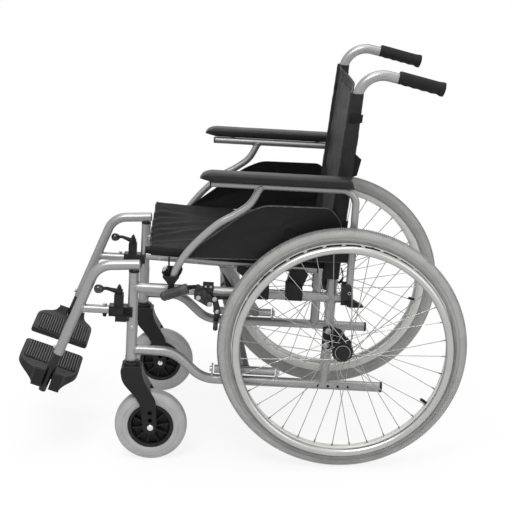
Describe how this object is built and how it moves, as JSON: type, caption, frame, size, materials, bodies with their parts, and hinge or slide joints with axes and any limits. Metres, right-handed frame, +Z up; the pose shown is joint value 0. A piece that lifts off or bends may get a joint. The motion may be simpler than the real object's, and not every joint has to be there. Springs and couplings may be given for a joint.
{
  "type": "folding wheelchair",
  "caption": "Light folding self-propelled wheelchair with cross brace, spoked rear wheels with handrims, swivel casters, swing-away leg supports and flip-back armrests.",
  "frame": {"origin": "middle of the chair's box, on the floor", "axes": "+Y towards the back of the chair, +X towards the sitter's left, +Z up"},
  "size_m": [0.669, 1.1132, 0.9817],
  "materials": {
    "frame_silver": "satin metallic lacquer",
    "bright_metal": "polished",
    "bolt_steel": "zinc plated",
    "black_plastic": "satin moulded",
    "footplate_plastic": "matt moulded",
    "tyre_rubber": "grey non-marking rubber",
    "grip_rubber": "textured",
    "pad_foam": "soft skinned foam",
    "black_nylon": "woven"
  },
  "bodies": {
    "left_frame": {"left_side_frame": "frame_silver", "left_post_cap": "black_plastic", "left_push_grip": "grip_rubber", "left_axle_bracket": "black_plastic", "left_front_saddle": "black_plastic", "left_rear_saddle": "black_plastic", "left_brake_mount": "black_plastic", "left_armrest_hinge": "black_plastic", "left_front_socket": "black_plastic", "back_sling": "black_nylon"},
    "left_wheel": {"left_tyre": "tyre_rubber", "left_spoked_wheel": "bright_metal", "left_handrim": "bright_metal"},
    "left_button": {"left_axle_button": "black_plastic"},
    "left_caster": {"left_caster_fork": "black_plastic"},
    "left_caster_wheel": {"left_caster_hub": "black_plastic", "left_caster_tyre": "tyre_rubber"},
    "left_legrest": {"left_hanger": "frame_silver", "left_latch_housing": "black_plastic", "left_footrest_tube": "black_plastic"},
    "left_latch": {"left_latch_lever": "black_plastic"},
    "left_plate": {"left_footplate": "footplate_plastic"},
    "left_armrest": {"left_armrest_frame": "frame_silver", "left_armrest_pad": "pad_foam", "left_side_guard": "black_plastic"},
    "left_release": {"left_armrest_release": "black_plastic"},
    "left_brake": {"left_brake_lever": "black_plastic"},
    "left_shoe": {"left_brake_shoe": "black_plastic"},
    "right_frame": {"right_side_frame": "frame_silver", "right_post_cap": "black_plastic", "right_push_grip": "grip_rubber", "right_axle_bracket": "black_plastic", "right_front_saddle": "black_plastic", "right_rear_saddle": "black_plastic", "right_brake_mount": "black_plastic", "right_armrest_hinge": "black_plastic", "right_front_socket": "black_plastic"},
    "right_wheel": {"right_tyre": "tyre_rubber", "right_spoked_wheel": "bright_metal", "right_handrim": "bright_metal"},
    "right_button": {"right_axle_button": "black_plastic"},
    "right_caster": {"right_caster_fork": "black_plastic"},
    "right_caster_wheel": {"right_caster_hub": "black_plastic", "right_caster_tyre": "tyre_rubber"},
    "right_legrest": {"right_hanger": "frame_silver", "right_latch_housing": "black_plastic", "right_footrest_tube": "black_plastic"},
    "right_latch": {"right_latch_lever": "black_plastic"},
    "right_plate": {"right_footplate": "footplate_plastic"},
    "right_armrest": {"right_armrest_frame": "frame_silver", "right_armrest_pad": "pad_foam", "right_side_guard": "black_plastic"},
    "right_release": {"right_armrest_release": "black_plastic"},
    "right_brake": {"right_brake_lever": "black_plastic"},
    "right_shoe": {"right_brake_shoe": "black_plastic"},
    "brace_a": {"cross_arm_a": "frame_silver", "brace_pivot_bolt": "bolt_steel"},
    "brace_b": {"cross_arm_b": "frame_silver"},
    "seat": {"seat_sling": "black_nylon"}
  },
  "joints": [
    {"name": "fold", "type": "hinge", "parent": "left_frame", "child": "brace_a", "pos_m": [0.236, 0.01691, 0.23039], "axis": [0, 0.9981, -0.061], "range_deg": [0, 44], "deforming": ["seat_sling", "back_sling"]},
    {"name": "brace_pivot", "type": "hinge", "parent": "brace_a", "child": "brace_b", "pos_m": [0, -0.0132, 0.37511], "axis": [0, 0.9981, -0.061], "range_deg": [-88, 0]},
    {"name": "right_brace_foot", "type": "hinge", "parent": "brace_b", "child": "right_frame", "pos_m": [-0.236, 0.04685, 0.22856], "axis": [0, 0.9981, -0.061], "range_deg": [0, 44]},
    {"name": "seat_hang", "type": "hinge", "parent": "brace_b", "child": "seat", "pos_m": [0.212, 0.00501, 0.49942], "axis": [0, 0.9981, -0.061], "range_deg": [0, 44]},
    {"name": "left_wheel_spin", "type": "hinge", "parent": "left_frame", "child": "left_wheel", "pos_m": [0.2935, 0.2516, 0.305], "axis": [1, 0, 0], "continuous": true},
    {"name": "left_button_press", "type": "slide", "parent": "left_frame", "child": "left_button", "axis": [-1, 0, 0], "range_m": [0, 0.004], "stiffness_N_per_m": 1500, "springref_m": -0.001},
    {"name": "left_caster_swivel", "type": "hinge", "parent": "left_frame", "child": "left_caster", "pos_m": [0.236, -0.2659, 0.24748], "axis": [0, 0, 1], "continuous": true},
    {"name": "left_caster_spin", "type": "hinge", "parent": "left_caster", "child": "left_caster_wheel", "pos_m": [0.236, -0.2219, 0.0905], "axis": [1, 0, 0], "continuous": true},
    {"name": "left_legrest_swing", "type": "hinge", "parent": "left_frame", "child": "left_legrest", "pos_m": [0.236, -0.25319, 0.48766], "axis": [0, 0.061, 0.9981], "range_deg": [0, 90]},
    {"name": "left_latch_turn", "type": "hinge", "parent": "left_legrest", "child": "left_latch", "pos_m": [0.236, -0.29114, 0.43237], "axis": [0, -0.061, -0.9981], "range_deg": [0, 40], "stiffness_Nm_per_rad": 0.3, "springref_deg": -8.59},
    {"name": "left_plate_flip", "type": "hinge", "parent": "left_legrest", "child": "left_plate", "pos_m": [0.2215, -0.47242, 0.2218], "axis": [0, 0.9367, -0.3502], "range_deg": [0, 82]},
    {"name": "left_armrest_flip", "type": "hinge", "parent": "left_frame", "child": "left_armrest", "pos_m": [0.2645, 0.26895, 0.4412], "axis": [-1, 0, 0], "range_deg": [0, 82]},
    {"name": "left_release_press", "type": "hinge", "parent": "left_frame", "child": "left_release", "pos_m": [0.2645, 0.26805, 0.41019], "axis": [-1, 0, 0], "range_deg": [0, 25], "stiffness_Nm_per_rad": 0.3, "springref_deg": -8.59},
    {"name": "left_brake_turn", "type": "hinge", "parent": "left_frame", "child": "left_brake", "pos_m": [0.2515, -0.0901, 0.45113], "axis": [-1, 0, 0], "range_deg": [0, 55]},
    {"name": "left_shoe_turn", "type": "hinge", "parent": "left_frame", "child": "left_shoe", "pos_m": [0.2515, -0.06617, 0.41661], "axis": [-1, 0, 0], "range_deg": [0, 22]},
    {"name": "right_wheel_spin", "type": "hinge", "parent": "right_frame", "child": "right_wheel", "pos_m": [-0.2935, 0.2516, 0.305], "axis": [1, 0, 0], "continuous": true},
    {"name": "right_button_press", "type": "slide", "parent": "right_frame", "child": "right_button", "axis": [1, 0, 0], "range_m": [0, 0.004], "stiffness_N_per_m": 1500, "springref_m": -0.001},
    {"name": "right_caster_swivel", "type": "hinge", "parent": "right_frame", "child": "right_caster", "pos_m": [-0.236, -0.2659, 0.24748], "axis": [0, 0, 1], "continuous": true},
    {"name": "right_caster_spin", "type": "hinge", "parent": "right_caster", "child": "right_caster_wheel", "pos_m": [-0.236, -0.2219, 0.0905], "axis": [1, 0, 0], "continuous": true},
    {"name": "right_legrest_swing", "type": "hinge", "parent": "right_frame", "child": "right_legrest", "pos_m": [-0.236, -0.25319, 0.48766], "axis": [0, -0.061, -0.9981], "range_deg": [0, 90]},
    {"name": "right_latch_turn", "type": "hinge", "parent": "right_legrest", "child": "right_latch", "pos_m": [-0.236, -0.29114, 0.43237], "axis": [0, 0.061, 0.9981], "range_deg": [0, 40], "stiffness_Nm_per_rad": 0.3, "springref_deg": -8.59},
    {"name": "right_plate_flip", "type": "hinge", "parent": "right_legrest", "child": "right_plate", "pos_m": [-0.2215, -0.47242, 0.2218], "axis": [0, -0.9367, 0.3502], "range_deg": [0, 82]},
    {"name": "right_armrest_flip", "type": "hinge", "parent": "right_frame", "child": "right_armrest", "pos_m": [-0.2645, 0.26895, 0.4412], "axis": [-1, 0, 0], "range_deg": [0, 82]},
    {"name": "right_release_press", "type": "hinge", "parent": "right_frame", "child": "right_release", "pos_m": [-0.2645, 0.26805, 0.41019], "axis": [-1, 0, 0], "range_deg": [0, 25], "stiffness_Nm_per_rad": 0.3, "springref_deg": -8.59},
    {"name": "right_brake_turn", "type": "hinge", "parent": "right_frame", "child": "right_brake", "pos_m": [-0.2515, -0.0901, 0.45113], "axis": [-1, 0, 0], "range_deg": [0, 55]},
    {"name": "right_shoe_turn", "type": "hinge", "parent": "right_frame", "child": "right_shoe", "pos_m": [-0.2515, -0.06617, 0.41661], "axis": [-1, 0, 0], "range_deg": [0, 22]}
  ],
  "couplings": [
    {"joint": "brace_pivot", "follows": "fold", "ratio": -2},
    {"joint": "right_brace_foot", "follows": "fold", "ratio": 1},
    {"joint": "seat_hang", "follows": "fold", "ratio": 1},
    {"joint": "left_plate_flip", "follows": "fold", "ratio": 1.86},
    {"joint": "left_shoe_turn", "follows": "left_brake_turn", "ratio": 0.4},
    {"joint": "right_plate_flip", "follows": "fold", "ratio": 1.86},
    {"joint": "right_shoe_turn", "follows": "right_brake_turn", "ratio": 0.4}
  ]
}
